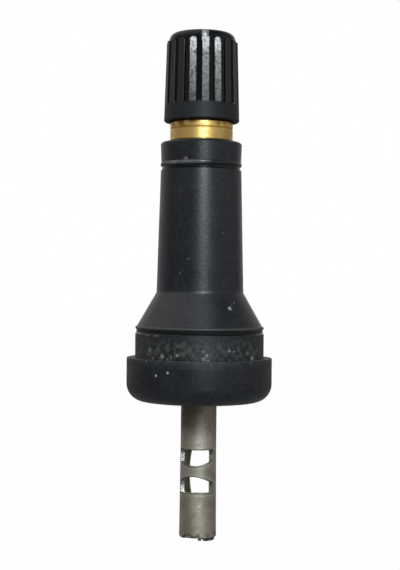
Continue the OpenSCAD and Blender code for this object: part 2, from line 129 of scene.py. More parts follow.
# %% [markdown]
# ## Studio
# White paper stands behind the valve, a pale wall is on the left and above, a lit one on the right, and
# the rest of the room is dim. Rubber and plastic are so dark that their shape shows mostly in what
# they mirror, so the world is a dim room with a few bright sides. Each side is a direction with a
# strength, which fades out at an angle. The camera always sees plain white behind the valve, through
# Light Path, which changes nothing in the light itself.

# %% Dim room with bright sides
DIM_ROOM = 0.088
BRIGHT_SIDES = [
    # direction, strength, and the cosine at which the side has faded out
    ((-0.15, 0.95, 0.30), 0.50, 0.00),
    ((-0.50, -0.30, 0.80), 0.76, 0.56),
    ((0.90, -0.42, 0.05), 0.42, 0.55),
]
WHITE = (1.0, 1.0, 1.0, 1.0)

world = bpy.data.worlds.new("studio")
bpy.context.scene.world = world
world.use_nodes = True
net = world.node_tree
net.nodes.clear()
direction = add_node(net, "TexCoord")
rays = add_node(net, "LightPath")
light = None
for toward, strength, reach in BRIGHT_SIDES:
    length = math.dist(toward, (0, 0, 0))
    near = add_node(net, "VectorMath", {1: [part / length for part in toward]}, operation="DOT_PRODUCT")
    join(net, direction, "Generated", near, 0)
    side = add_node(net, "MapRange", {"From Min": reach, "To Max": strength},
                    interpolation_type="SMOOTHSTEP")
    join(net, near, "Value", side, "Value")
    total = add_node(net, "Math", {1: DIM_ROOM}, operation="ADD")
    join(net, side, "Result", total, 0)
    if light:
        join(net, light, "Value", total, 1)
    light = total
seen = add_node(net, "Math", operation="MAXIMUM")
join(net, light, "Value", seen, 0)
join(net, rays, "Is Camera Ray", seen, 1)
sky = add_node(net, "Background", {"Color": WHITE})
join(net, seen, "Value", sky, "Strength")
join(net, sky, "Background", add_node(net, "OutputWorld"), "Surface")
print("world: dim room %.3f with %d bright sides" % (DIM_ROOM, len(BRIGHT_SIDES)))

# %% [markdown]
# One soft lamp with the cool tone of daylight stands behind the camera, a little to the right and well
# above the valve. On a round body it gives one upright streak, and its width sets the streak's width.
# From up there the flange shades the top of the tail, and the streak fades from the cap downwards.

# %% Soft lamp
LAMP_DISTANCE = 0.30
LAMP_TURN = math.radians(9)
LAMP_HEIGHT = 0.150
LAMP_SIZE = (0.060, 0.18)
LAMP_RADIANCE = 23.0
LAMP_TONE = (0.86, 1.0, 1.08)

lamp = bpy.data.lights.new("soft_lamp", "AREA")
lamp.shape = "RECTANGLE"
lamp.size, lamp.size_y = LAMP_SIZE
lamp.color = LAMP_TONE
lamp.energy = LAMP_RADIANCE * math.pi * LAMP_SIZE[0] * LAMP_SIZE[1]
soft_lamp = bpy.data.objects.new("soft_lamp", lamp)
soft_lamp.location = (
    LAMP_DISTANCE * math.sin(LAMP_TURN), -LAMP_DISTANCE * math.cos(LAMP_TURN), LAMP_HEIGHT)
soft_lamp.rotation_euler = (math.atan2(LAMP_DISTANCE, LAMP_HEIGHT), 0, LAMP_TURN)
soft_lamp.visible_camera = False
bpy.context.scene.collection.objects.link(soft_lamp)
print("lamp power %.3f W" % lamp.energy)

# %% [markdown]
# The valve hangs a little above a pale floor, as if held in its rim hole. Most of the floor's white
# comes through Is Camera Ray, and the rest is plain diffuse paint, so the floor keeps a soft shadow.
# The CAD nodes are still selected after loading, so everything is deselected before anything is added.

# %% Pale floor
FLOOR_DROP = 0.03
FLOOR_SIZE = 6.0
FLOOR_GLOW = 0.985
FLOOR_PAINT = (0.3, 0.3, 0.3, 1.0)


def clear_selection():
    """Nothing is selected, so that the next operator acts on its own piece only."""
    if bpy.context.object and bpy.context.object.mode != "OBJECT":
        bpy.ops.object.mode_set(mode="OBJECT")
    bpy.ops.object.select_all(action="DESELECT")


clear_selection()
bpy.ops.mesh.primitive_plane_add(size=FLOOR_SIZE, location=(0, 0, cad_box[0][2] - FLOOR_DROP))
floor = bpy.context.object
floor.name = "floor"
paint = bpy.data.materials.new("pale_floor")
paint.use_nodes = True
net = paint.node_tree
net.nodes.clear()
matt = add_node(net, "BsdfDiffuse", {"Color": FLOOR_PAINT})
glow = add_node(net, "Emission", {"Color": WHITE, "Strength": 1.0})
rays = add_node(net, "LightPath")
share = add_node(net, "Math", {1: FLOOR_GLOW}, operation="MULTIPLY")
join(net, rays, "Is Camera Ray", share, 0)
blend = add_node(net, "MixShader")
join(net, share, "Value", blend, 0)
join(net, matt, "BSDF", blend, 1)
join(net, glow, "Emission", blend, 2)
join(net, blend, "Shader", add_node(net, "OutputMaterial"), "Surface")
floor.data.materials.append(paint)
print("floor at z %.1f mm" % (floor.location.z * 1000))

# %% [markdown]
# ## Shared effects
# Several finishes need the same things: clouds of a given grain, a band between two heights, worn
# edges, single flecks of dust, whatever lies outside a cone round the axis or on one side of it, and the
# fine rings that a lathe leaves. Each is a node group with named inputs, built once. They read Object
# coordinates, which are metres in the valve's own frame, so a band of dirt or a fleck can be put at a
# height that is known from the real valve. Each ends in a soft step, so no mark has a hard border.

# %% Helpers for groups, and the group for clouds
def new_group(name, inputs, output):
    """A shader node group with float or vector inputs and one float output."""
    group = bpy.data.node_groups.new(name, "ShaderNodeTree")
    for label, value in inputs.items():
        kind = "NodeSocketFloat" if isinstance(value, float) else "NodeSocketVector"
        socket = group.interface.new_socket(name=label, in_out="INPUT", socket_type=kind)
        socket.default_value = value
    group.interface.new_socket(name=output, in_out="OUTPUT", socket_type="NodeSocketFloat")
    return group, group.nodes.new("NodeGroupInput"), group.nodes.new("NodeGroupOutput")


def soft_step(group, given, result, source, output, limits, fixed=None):
    """Ends a group in a soft step; limits says which input of the group sets which end of the step."""
    ramp = add_node(group, "MapRange", fixed, interpolation_type="SMOOTHSTEP")
    join(group, source, output, ramp, "Value")
    for label, socket in limits.items():
        join(group, given, label, ramp, socket)
    join(group, ramp, "Result", result, "Mask")
    print("group:", group.name)


clouds, given, result = new_group(
    "clouds", {"Scale": 1000.0, "Low": 0.4, "High": 0.6, "Shift": (0.0, 0.0, 0.0)}, "Mask")
place = add_node(clouds, "TexCoord")
moved = add_node(clouds, "VectorMath", operation="ADD")
join(clouds, place, "Object", moved, 0)
join(clouds, given, "Shift", moved, 1)
noise = add_node(clouds, "TexNoise", {"Detail": 5.0, "Roughness": 0.6})
join(clouds, moved, "Vector", noise, "Vector")
join(clouds, given, "Scale", noise, "Scale")
soft_step(clouds, given, result, noise, "Fac", {"Low": "From Min", "High": "From Max"})

# %% Band between two heights
band, given, result = new_group("band", {"Foot": 0.0, "Top": 0.001, "Soft": 0.0005}, "Mask")
place = add_node(band, "TexCoord")
split = add_node(band, "SeparateXYZ")
join(band, place, "Object", split, "Vector")
above = add_node(band, "Math", operation="SUBTRACT")
join(band, split, "Z", above, 0)
join(band, given, "Foot", above, 1)
below = add_node(band, "Math", operation="SUBTRACT")
join(band, given, "Top", below, 0)
join(band, split, "Z", below, 1)
inside = add_node(band, "Math", operation="MINIMUM")
join(band, above, "Value", inside, 0)
join(band, below, "Value", inside, 1)
soft_step(band, given, result, inside, "Value", {"Soft": "From Max"}, {"From Min": 0.0})

# %% Worn edges, where a rounded normal leaves the face's own normal
LEAST_BEND = 0.02

worn_edge, given, result = new_group("worn_edge", {"Width": 0.0001, "Reach": 0.15}, "Mask")
rounded = add_node(worn_edge, "Bevel", samples=6)
join(worn_edge, given, "Width", rounded, "Radius")
face = add_node(worn_edge, "NewGeometry")
agree = add_node(worn_edge, "VectorMath", operation="DOT_PRODUCT")
join(worn_edge, rounded, "Normal", agree, 0)
join(worn_edge, face, "Normal", agree, 1)
bend = add_node(worn_edge, "Math", {0: 1.0}, operation="SUBTRACT")
join(worn_edge, agree, "Value", bend, 1)
soft_step(worn_edge, given, result, bend, "Value", {"Reach": "From Max"}, {"From Min": LEAST_BEND})

# %% One fleck of dust
fleck, given, result = new_group("fleck", {"Place": (0.0, 0.0, 0.0), "Size": 0.0002}, "Mask")
place = add_node(fleck, "TexCoord")
apart = add_node(fleck, "VectorMath", operation="DISTANCE")
join(fleck, place, "Object", apart, 0)
join(fleck, given, "Place", apart, 1)
soft_step(fleck, given, result, apart, "Value", {"Size": "From Max"},
          {"From Min": 0.0, "To Min": 1.0, "To Max": 0.0})

# %% Outside of a cone round the axis
outside, given, result = new_group(
    "outside", {"Foot R": 0.001, "Top R": 0.001, "Foot Z": 0.0, "Top Z": 0.01, "Soft": 0.0001}, "Mask")
place = add_node(outside, "TexCoord")
split = add_node(outside, "SeparateXYZ")
join(outside, place, "Object", split, "Vector")
flat = add_node(outside, "CombineXYZ")
join(outside, split, "X", flat, "X")
join(outside, split, "Y", flat, "Y")
radius = add_node(outside, "VectorMath", operation="LENGTH")
join(outside, flat, "Vector", radius, 0)
cone = add_node(outside, "MapRange", clamp=False)
join(outside, split, "Z", cone, "Value")
for label, socket in (
        ("Foot Z", "From Min"), ("Top Z", "From Max"), ("Foot R", "To Min"), ("Top R", "To Max")):
    join(outside, given, label, cone, socket)
further = add_node(outside, "Math", operation="SUBTRACT")
join(outside, radius, "Value", further, 0)
join(outside, cone, "Result", further, 1)
soft_step(outside, given, result, further, "Value", {"Soft": "From Max"}, {"From Min": 0.0})

# %% One side of a round body
facing, given, result = new_group("facing", {"Aim": (0.0, -1.0, 0.0), "Low": 0.8, "High": 0.9}, "Mask")
place = add_node(facing, "TexCoord")
flat = add_node(facing, "VectorMath", {1: (1.0, 1.0, 0.0)}, operation="MULTIPLY")
join(facing, place, "Object", flat, 0)
unit = add_node(facing, "VectorMath", operation="NORMALIZE")
join(facing, flat, "Vector", unit, 0)
near = add_node(facing, "VectorMath", operation="DOT_PRODUCT")
join(facing, unit, "Vector", near, 0)
join(facing, given, "Aim", near, 1)
soft_step(facing, given, result, near, "Value", {"Low": "From Min", "High": "From Max"})

# %% Rings of a turning tool
turned, given, result = new_group("turned", {"Scale": 9000.0}, "Height")
place = add_node(turned, "TexCoord")
split = add_node(turned, "SeparateXYZ")
join(turned, place, "Object", split, "Vector")
rings = add_node(turned, "TexNoise", {"Detail": 3.0}, noise_dimensions="1D")
join(turned, split, "Z", rings, "W")
join(turned, given, "Scale", rings, "Scale")
join(turned, rings, "Fac", result, "Height")
print("group:", turned.name)

# %% [markdown]
# ## Finishes
# A finish starts from an empty material with one Principled shader. Helpers place a group, join masks,
# turn a mask into a range of values and lay marks over a colour, and each finish is then a short recipe.

# %% Helpers that start and end a finish
def new_finish(name, **fixed):
    """A material with one Principled shader; fixed values go straight onto the shader's sockets."""
    material = bpy.data.materials.new(name)
    material.use_nodes = True
    net = material.node_tree
    net.nodes.clear()
    skin = add_node(net, "BsdfPrincipled", {key.replace("_", " "): value for key, value in fixed.items()})
    join(net, skin, "BSDF", add_node(net, "OutputMaterial"), "Surface")
    print("finish:", name)
    return material, net, skin


def cover(net, skin, colour, roughness):
    """Puts a colour and a roughness on the shader."""
    net.links.new(colour, skin.inputs["Base Color"])
    net.links.new(roughness, skin.inputs["Roughness"])


def emboss(net, skin, height, depth, edge=0.0):
    """A bump of the given depth in metres on the shader's normal, over edges rounded by edge metres."""
    bump = add_node(net, "Bump", {"Strength": 1.0, "Distance": depth})
    net.links.new(height, bump.inputs["Height"])
    if edge:
        join(net, add_node(net, "Bevel", {"Radius": edge}, samples=8), "Normal", bump, "Normal")
    join(net, bump, "Normal", skin, "Normal")


print("helpers:", new_finish.__name__, cover.__name__, emboss.__name__)

# %% Helpers for masks and colours
def use_group(net, group, sockets):
    """A group placed in a net, with values on its inputs; returns its one output."""
    node = net.nodes.new("ShaderNodeGroup")
    node.node_tree = group
    for key, value in sockets.items():
        node.inputs[key].default_value = value
    return node.outputs[0]


def combine(net, operation, first, *others):
    """Masks and numbers joined by one Math operation, from left to right."""
    for other in others:
        node = add_node(net, "Math", operation=operation)
        for socket, value in ((node.inputs[0], first), (node.inputs[1], other)):
            if isinstance(value, (int, float)):
                socket.default_value = value
            else:
                net.links.new(value, socket)
        first = node.outputs[0]
    return first


def spread(net, mask, low, high):
    """A value that goes from low to high as the mask goes from 0 to 1."""
    node = add_node(net, "MapRange", {"To Min": low, "To Max": high})
    net.links.new(mask, node.inputs["Value"])
    return node.outputs["Result"]


def tint(net, mask, first, second):
    """A colour that goes from first to second as the mask goes from 0 to 1."""
    node = add_node(net, "Mix", data_type="RGBA")
    net.links.new(mask, node.inputs["Factor"])
    for socket, value in ((node.inputs[6], first), (node.inputs[7], second)):
        if isinstance(value, tuple):
            socket.default_value = (*value, 1.0)
        else:
            net.links.new(value, socket)
    return node.outputs[2]


def layers(net, colour, marks):
    """Marks laid over a colour in turn, each a mask, a strength and a colour of its own."""
    for mask, strength, shade in marks:
        colour = tint(net, combine(net, "MULTIPLY", mask, strength), colour, shade)
    return colour


print("helpers:", [helper.__name__ for helper in (use_group, combine, spread, tint, layers)])

# %% Short forms of the groups for heights, radii and sides
ABOVE_ALL = 1.0
BELOW_ALL = -1.0


def between(net, heights, soft):
    """A mask for what lies between two heights."""
    return use_group(net, band, {"Foot": heights[0], "Top": heights[1], "Soft": soft})


def beyond(net, limit, soft):
    """A mask for what lies outside a radius."""
    return use_group(net, outside, {"Foot R": limit, "Top R": limit, "Soft": soft})


def on_side(net, turn, low, high):
    """A mask for one side of a round body, at a turn in degrees; low and high are cosines."""
    angle = math.radians(turn)
    return use_group(net, facing, {"Aim": (math.cos(angle), math.sin(angle), 0.0), "Low": low, "High": high})


print("short forms:", between.__name__, beyond.__name__, on_side.__name__)

# %% [markdown]
# ### Body rubber
# The body is carbon-black rubber with a cool tone. It has a fine skin from the mould, a thin veil and
# specks of dust, and hand marks that change its gloss. Olive dirt, pale crumbs and single granules are
# packed on the neck above the flange, and a few flecks of dust lie on the rest. The bead is polished,
# and a pale line along it on one side is a painted highlight. The lip is dull and painted paler as a
# painted highlight, the neck's top edge has two short painted glints, and both grooves are painted deep
# black as painted shade. A painted picture could show all this, but it needs unwrapping and has a fixed
# size. Here each mark is a mask at a known place, and the marks are laid over the black rubber one after
# another.

# %% Places of the marks on the rubber
FLECKS = {
    # place and size of each fleck of dust
    (-0.0051, -0.0074, -0.0018): 0.00022,
    (-0.0037, -0.0082, -0.0014): 0.00022,
    (0.0035, -0.0052, 0.0061): 0.00040,
    (0.0038, -0.0048, 0.0065): 0.00014,
    (0.0041, -0.0044, 0.0068): 0.00012,
}
FAINT_FLECKS = {
    # the same for the flecks on the column, which are half rubbed off
    (-0.0014, -0.00507, 0.0121): 0.00024,
    (-0.0024, -0.00472, 0.0104): 0.00022,
    (0.0027, -0.00442, 0.0152): 0.00018,
}
GRANULES = {
    # place and size of each grain of road dirt
    (-0.0059, -0.0053, 0.0012): 0.00034,
    (-0.0044, -0.0066, 0.0004): 0.00040,
    (-0.0026, -0.0075, 0.0006): 0.00026,
    (0.0005, -0.0079, 0.0011): 0.00030,
    (0.0009, -0.0079, 0.0006): 0.00036,
    (0.0005, -0.0079, 0.0002): 0.00036,
    (0.0010, -0.0079, 0.0000): 0.00030,
    (0.0058, -0.0054, 0.0008): 0.00028,
    (0.0063, -0.0048, 0.0002): 0.00044,
    (-0.0081, -0.0018, 0.0000): 0.00034,
    (0.0036, -0.0071, 0.0012): 0.00024,
    (0.0041, -0.0068, 0.0011): 0.00022,
}
NECK_GLINT_TURNS = (-142.5, -130.5)
BEAD_GLINT_TURN = -118
# heights of the bead, the lip, the two grooves and the parts of the neck
BEAD = (0.02350, 0.02404)
LIP = (0.00347, 0.00387)
GROOVES = ((0.02300, 0.02352), (0.00293, 0.00353))
NECK = (-0.0010, 0.0030)
NECK_DIRT = (-0.0010, 0.0031)
NECK_EDGE = (0.0027, 0.0030)
CREASE = (-0.0007, 0.0013)
NIB_SPOT = (-0.00187, -0.00464, 0.02412)
NIB_MARK = 0.00042
print("%d flecks, %d granules" % (len(FLECKS) + len(FAINT_FLECKS), len(GRANULES)))

# %% Masks of the body rubber
body_rubber, net, skin = new_finish("body_rubber")
smudge = use_group(net, clouds, {"Scale": 260.0, "Low": 0.35, "High": 0.7})
pores = use_group(net, clouds, {"Scale": 3400.0, "Low": 0.3, "High": 0.7})
specks = use_group(net, clouds, {"Scale": 5200.0, "Low": 0.58, "High": 0.72, "Shift": (0.005, 0.0, 0.0)})
veil = use_group(net, clouds, {"Scale": 2300.0, "Low": 0.42, "High": 0.74, "Shift": (0.0, 0.009, 0.0)})
grime = use_group(net, clouds, {"Scale": 1500.0, "Low": 0.43, "High": 0.64, "Shift": (0.013, 0.0, 0.004)})
crumbs = use_group(net, clouds, {"Scale": 1900.0, "Low": 0.59, "High": 0.70, "Shift": (0.0, 0.021, 0.0)})
dirty = combine(net, "MULTIPLY", grime, between(net, NECK_DIRT, soft=0.0018))
crumbly = combine(net, "MULTIPLY", crumbs, between(net, CREASE, soft=0.0007))
bead = between(net, BEAD, soft=0.00016)
lip = between(net, LIP, soft=0.00010)
# painted shade: both grooves are painted deep black
painted_groove_shade = combine(net, "MAXIMUM", *(between(net, groove, soft=0.00007) for groove in GROOVES))
# painted highlight: a pale mottled line along the bead on this side
bead_glint_side = on_side(net, BEAD_GLINT_TURN, 0.70, 0.97)
painted_bead_glint = combine(net, "MULTIPLY", bead, bead_glint_side, spread(net, grime, 0.5, 1.0))
nib_worn = use_group(net, fleck, {"Place": NIB_SPOT, "Size": NIB_MARK})
dusty, faded, gritty = [
    combine(net, "MAXIMUM", *(use_group(net, fleck, {"Place": spot, "Size": size})
                              for spot, size in spots.items()))
    for spots in (FLECKS, FAINT_FLECKS, GRANULES)]
gritty = combine(net, "MULTIPLY", gritty, spread(net, pores, 0.1, 1.5))
# painted highlight: two short glints on the neck's top edge
painted_neck_glints = combine(net, "MAXIMUM", *(on_side(net, turn, 0.9980, 0.9998) for turn in NECK_GLINT_TURNS))
painted_neck_glints = combine(net, "MULTIPLY", painted_neck_glints, between(net, NECK_EDGE, soft=0.0002),
                  spread(net, pores, 0.3, 1.2))
print("masks placed:", len(net.nodes), "nodes")

# %% Colour and gloss of the body rubber
LUMPS = 4.0
PORE_DEPTH = 0.000005

black = tint(net, smudge, (0.0042, 0.0052, 0.0082), (0.0060, 0.0072, 0.0100))
colour = layers(net, black, [
    (veil, 0.8, (0.0175, 0.0180, 0.0175)),
    (specks, 0.8, (0.036, 0.036, 0.034)),
    # painted highlight: the lip is painted paler all round
    (lip, 1.0, (0.040, 0.041, 0.040)),
    # painted highlight along one side of the bead
    (painted_bead_glint, 1.0, (0.130, 0.132, 0.135)),
    (nib_worn, 1.0, (0.150, 0.130, 0.135)),
    (dirty, 1.0, (0.045, 0.047, 0.038)),
    (crumbly, 0.6, (0.20, 0.205, 0.19)),
    (gritty, 0.8, (0.30, 0.305, 0.28)),
    # painted shade in the two grooves
    (painted_groove_shade, 1.0, (0.0020, 0.0022, 0.0028)),
    # painted glints on the neck's top edge
    (painted_neck_glints, 1.0, (0.22, 0.22, 0.21)),
    (faded, 1.0, (0.075, 0.075, 0.072)),
    (dusty, 1.0, (0.55, 0.55, 0.53)),
])
roughness = spread(net, smudge, 0.33, 0.40)
for mask, change in (
        (bead, -0.06), (painted_groove_shade, -0.15), (between(net, NECK, soft=0.0002), 0.14), (lip, 0.12), (dirty, 0.15)):
    roughness = combine(net, "ADD", roughness, combine(net, "MULTIPLY", mask, change))
cover(net, skin, colour, roughness)
lumps = combine(net, "MULTIPLY", combine(net, "MAXIMUM", crumbly, gritty), LUMPS)
emboss(net, skin, combine(net, "ADD", pores, dirty, lumps), PORE_DEPTH)
print("body rubber:", len(net.nodes), "nodes")

# %% [markdown]
# ### Cap plastic
# The cap is hard black plastic. The floors of its valleys are glossy and dark. The crests of the three
# ribs that face the lamp are painted grey, partly as wear and partly as a painted highlight, lightest
# at their upper tips, where the light from above is strongest, and the marks are mottled. The other ribs
# are worn only along their edges. Only the solid's shape says what is a crest: whatever lies close to
# the cone over the ribs. Above the middle one of the three ribs the shoulder has a painted highlight.

# %% Masks of the cap plastic
CAP_BAND = 0.00192
CAP_SHOULDER = 0.00105
RIB_TOP_R = 0.00438
SHOULDER_R = 0.0033
SHOULDER_LAP = 0.0004
CREST_DEPTH = 0.00008
LIT_RIBS_TURN = -85
RISE_LEAD = 0.002
TIP_LENGTH = 0.0022

cap_low, cap_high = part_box("cap_shell")
rib_foot = cap_low.z + CAP_BAND
rib_top = cap_high.z - CAP_SHOULDER
cap_plastic, net, skin = new_finish("cap_plastic", Specular_IOR_Level=0.3)
ripple = use_group(net, clouds, {"Scale": 2600.0, "Low": 0.25, "High": 0.75})
mottle = use_group(net, clouds, {"Scale": 2900.0, "Low": 0.34, "High": 0.60, "Shift": (0.0, 0.007, 0.0)})
edges = use_group(net, worn_edge, {"Width": 0.00028, "Reach": 0.12})
crest = use_group(net, outside, {
    "Foot R": cap_high.x - CREST_DEPTH, "Top R": RIB_TOP_R - CREST_DEPTH,
    "Foot Z": cap_low.z, "Top Z": rib_top, "Soft": 0.6 * CREST_DEPTH})
ribbed = between(net, (rib_foot, cap_high.z), soft=0.0003)
rising = between(net, (rib_foot - RISE_LEAD, ABOVE_ALL), soft=rib_top - rib_foot + RISE_LEAD)
tips = between(net, (rib_top - TIP_LENGTH, ABOVE_ALL), soft=0.0015)
shoulder = between(net, (rib_top - SHOULDER_LAP, ABOVE_ALL), soft=0.0002)
rim_only = beyond(net, SHOULDER_R, soft=0.0005)
# the three ribs that face the lamp
lit_ribs = on_side(net, LIT_RIBS_TURN, 0.81, 0.89)
middle_rib = on_side(net, LIT_RIBS_TURN, 0.975, 0.988)
shoulder_highlight_side = on_side(net, LIT_RIBS_TURN, 0.9932, 0.9965)
print("ribs from z %.2f to %.2f mm" % (rib_foot * 1000, rib_top * 1000))

# %% Colour and gloss of the cap plastic
RIPPLE_DEPTH = 0.000004

rib_crests = combine(net, "MULTIPLY", crest, ribbed)
# grey crests: partly wear, partly a painted highlight, lighter upwards where the light from above is stronger
rubbed_and_lit_crests = combine(
    net, "MULTIPLY", rib_crests, lit_ribs, spread(net, rising, 0.16, 0.75), spread(net, middle_rib, 1.0, 0.58),
    spread(net, tips, 1.0, 1.6), spread(net, mottle, 0.25, 1.15), spread(net, edges, 1.0, 0.4))
# painted highlight on the shoulder above the middle rib
painted_shoulder_highlight = combine(net, "MULTIPLY", shoulder_highlight_side, shoulder, spread(net, mottle, 0.10, 0.62), rim_only)
faint = combine(net, "MULTIPLY", rib_crests, spread(net, edges, 0.022, 0.075))
# near-white upper tips: partly bare plastic, partly a painted highlight
bare_and_lit_tips = combine(net, "MULTIPLY", rib_crests, lit_ribs, tips, mottle, spread(net, middle_rib, 0.75, 0.50))
black = tint(net, ribbed, (0.0110, 0.0115, 0.0125), (0.0030, 0.0033, 0.0040))
colour = layers(net, black, [
    # wear and painted highlight on the crests and the shoulder
    (combine(net, "MAXIMUM", rubbed_and_lit_crests, painted_shoulder_highlight, faint), 1.0, (0.55, 0.515, 0.485)),
    (bare_and_lit_tips, 1.0, (0.86, 0.83, 0.81)),
])
cover(net, skin, colour,
      combine(net, "MAXIMUM", spread(net, ribbed, 0.55, 0.14), spread(net, crest, 0.0, 0.42)))
emboss(net, skin, ripple, RIPPLE_DEPTH)
print("cap plastic:", len(net.nodes), "nodes")

# %% [markdown]
# ### Turned brass
# The stem is turned brass. Fine rings run round it, the upper ring has dark brown patches right under
# the cap, a painted shade lines its foot where it leaves the rubber, and its edges are rubbed bright. The
# rings are too fine to be cut in the mesh, so noise along the axis alone gives them as a bump.

# %% Turned brass
UNDER_CAP_RING = (0.0280, 0.0300)
FOOT_SHADE = 0.00034
RING_DEPTH = 0.000006

rubber_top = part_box("rubber_body")[1].z
turned_brass, net, skin = new_finish("turned_brass", Metallic=1.0)
stain = use_group(net, clouds, {"Scale": 900.0, "Low": 0.42, "High": 0.62})
rings = use_group(net, turned, {"Scale": 9000.0})
edges = use_group(net, worn_edge, {"Width": 0.00006, "Reach": 0.2})
# dark brown patches in a ring right under the cap
under_cap_patches = combine(net, "MULTIPLY", stain, between(net, UNDER_CAP_RING, soft=0.0005))
gold = tint(net, stain, (0.84, 0.56, 0.19), (0.70, 0.44, 0.13))
colour = layers(net, gold, [
    (under_cap_patches, 0.75, (0.20, 0.09, 0.015)),
    (edges, 1.0, (0.90, 0.72, 0.38)),
    # painted shade where the brass leaves the rubber
    (between(net, (0.0, rubber_top + FOOT_SHADE), soft=0.00016), 1.0, (0.10, 0.075, 0.03)),
])
cover(net, skin, colour, spread(net, stain, 0.40, 0.50))
emboss(net, skin, rings, RING_DEPTH)
print("turned brass:", len(net.nodes), "nodes")

# %% [markdown]
# ### Tail metal
# The tail is a dull grey metal, blasted or cast, with a fine mottled skin and larger dull patches. Close
# to the flange it is dark brown, part soot and part a painted shadow of the flange, darkest on the front
# left, away from the lamp. Dirt lines its bore and the ragged lower end, and the end's edge has a thin
# painted shade. A painted dark line of shade and a painted pale highlight run round the windows. Their cut
# faces are bare, and bright where something scraped them. The edges are slightly rounded. The Bevel node
# shows that in the light, so the solid needs no more faces for it.

# %% Masks of the tail metal
FLANGE_SHADOW_FOOT = -0.0102
SHADED_SIDE_TURN = -122
END_SHADE = 0.00050
END_DIRT = 0.0013
SCRAPES = ((-0.0130, -0.0117), (-0.0168, -0.0156))
TAIL_BORE_R = 0.00165
BORE_SKIN = 0.00003
TAIL_R = 0.002205
OUTER_SKIN = 0.00007
WINDOWS = (-0.0165, -0.01125)
WINDOW_RIM = 0.0006
WARM_SPOT = (0.0014, -0.0018, -0.0205)
WARM_SIZE = 0.0030

tail_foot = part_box("tail_tube")[0].z
tail_metal, net, skin = new_finish("tail_metal", Metallic=1.0)
mottle = use_group(net, clouds, {"Scale": 1500.0, "Low": 0.25, "High": 0.75})
grit = use_group(net, clouds, {"Scale": 6000.0, "Low": 0.3, "High": 0.7})
patches = use_group(net, clouds, {"Scale": 420.0, "Low": 0.42, "High": 0.66, "Shift": (0.0, 0.0, 0.0035)})
ragged = use_group(net, clouds, {"Scale": 2600.0, "Low": 0.30, "High": 0.55})
grubby = use_group(net, clouds, {"Scale": 1500.0, "Low": 0.50, "High": 0.60, "Shift": (0.002, 0.0, 0.0)})
# part soot, part a painted shadow of the flange, darkest on the side away from the lamp
soot_and_flange_shadow = combine(net, "MULTIPLY", between(net, (FLANGE_SHADOW_FOOT, 0.0), soft=0.0023),
               spread(net, on_side(net, SHADED_SIDE_TURN, 0.50, 0.98), 0.45, 0.86))
# painted shade on the edge of the lower end
painted_end_shade = combine(net, "MULTIPLY", between(net, (BELOW_ALL, tail_foot + END_SHADE), soft=0.00018),
                   spread(net, ragged, 0.5, 0.95))
end_dirt = combine(net, "MULTIPLY", between(net, (BELOW_ALL, tail_foot + END_DIRT), soft=0.0007), grubby, 0.8)
warm = use_group(net, fleck, {"Place": WARM_SPOT, "Size": WARM_SIZE})
shine = combine(net, "MAXIMUM", *(between(net, scrape, soft=0.0004) for scrape in SCRAPES))
shell = beyond(net, TAIL_BORE_R + BORE_SKIN, soft=0.00003)
skin_deep = beyond(net, TAIL_R - OUTER_SKIN, soft=0.00005)
wall = combine(net, "SUBTRACT", shell, skin_deep)
cut_face = combine(net, "MULTIPLY", wall, between(net, WINDOWS, soft=0.00002))
rim = combine(net, "MULTIPLY", skin_deep,
              between(net, (WINDOWS[0] - WINDOW_RIM, WINDOWS[1] + WINDOW_RIM), soft=0.0002))
# painted highlight: a pale lip round the windows
painted_window_highlight = combine(net, "MULTIPLY", rim, use_group(net, worn_edge, {"Width": 0.00100, "Reach": 0.10}))
# painted shade: a dark line round the windows
painted_window_shade = combine(net, "MULTIPLY", rim, use_group(net, worn_edge, {"Width": 0.00045, "Reach": 0.10}))
print("tail's foot at z %.2f mm" % (tail_foot * 1000))

# %% Colour and gloss of the tail metal
SCRAPE_GLOSS = 0.2
GRIT_DEPTH = 0.000010
TAIL_EDGE = 0.00012

grey = tint(net, mottle, (0.48, 0.425, 0.345), (0.57, 0.51, 0.42))
outer = layers(net, grey, [
    (patches, 0.5, (0.25, 0.22, 0.16)),
    (warm, 0.4, (0.47, 0.34, 0.27)),
    # painted shade on the end's edge, and dirt on the ragged end
    (combine(net, "MAXIMUM", painted_end_shade, end_dirt), 1.0, (0.07, 0.06, 0.042)),
    # soot and painted flange shadow
    (soot_and_flange_shadow, 1.0, (0.11, 0.09, 0.068)),
    # painted highlight and painted shade round the windows
    (painted_window_highlight, 0.7, (0.70, 0.65, 0.55)),
    (painted_window_shade, 0.95, (0.10, 0.09, 0.07)),
])
hollow = tint(net, shell, (0.30, 0.27, 0.19), outer)
cut = tint(net, shine, (0.26, 0.25, 0.205), (0.80, 0.78, 0.72))
polished = combine(net, "MULTIPLY", cut_face, shine, SCRAPE_GLOSS)
cover(net, skin, tint(net, cut_face, hollow, cut),
      combine(net, "SUBTRACT", spread(net, mottle, 0.52, 0.44), polished))
emboss(net, skin, combine(net, "ADD", mottle, grit), GRIT_DEPTH, edge=TAIL_EDGE)
print("tail metal:", len(net.nodes), "nodes")

# %% [markdown]
# ### Inner pieces
# Inside are soft seals, a hard red gasket and bright drawn steel. They show when the core is taken apart,
# so they get a plain finish of their own kind: matt grain on rubber, fine draw marks on steel.

# %% Inner finishes
def grained(name, scale, dark, light, low_rough, high_rough, depth):
    """A finish with one grain, which changes its colour, its roughness and its height."""
    material, net, skin = new_finish(name)
    grain = use_group(net, clouds, {"Scale": scale, "Low": 0.3, "High": 0.7})
    cover(net, skin, tint(net, grain, dark, light), spread(net, grain, low_rough, high_rough))
    emboss(net, skin, grain, depth)
    return material


seal_rubber = grained(
    "seal_rubber", 3000.0, (0.030, 0.030, 0.032), (0.050, 0.050, 0.052), 0.55, 0.7, 0.000010)
red_gasket = grained(
    "red_gasket", 2500.0, (0.34, 0.07, 0.045), (0.42, 0.10, 0.06), 0.35, 0.5, 0.000004)

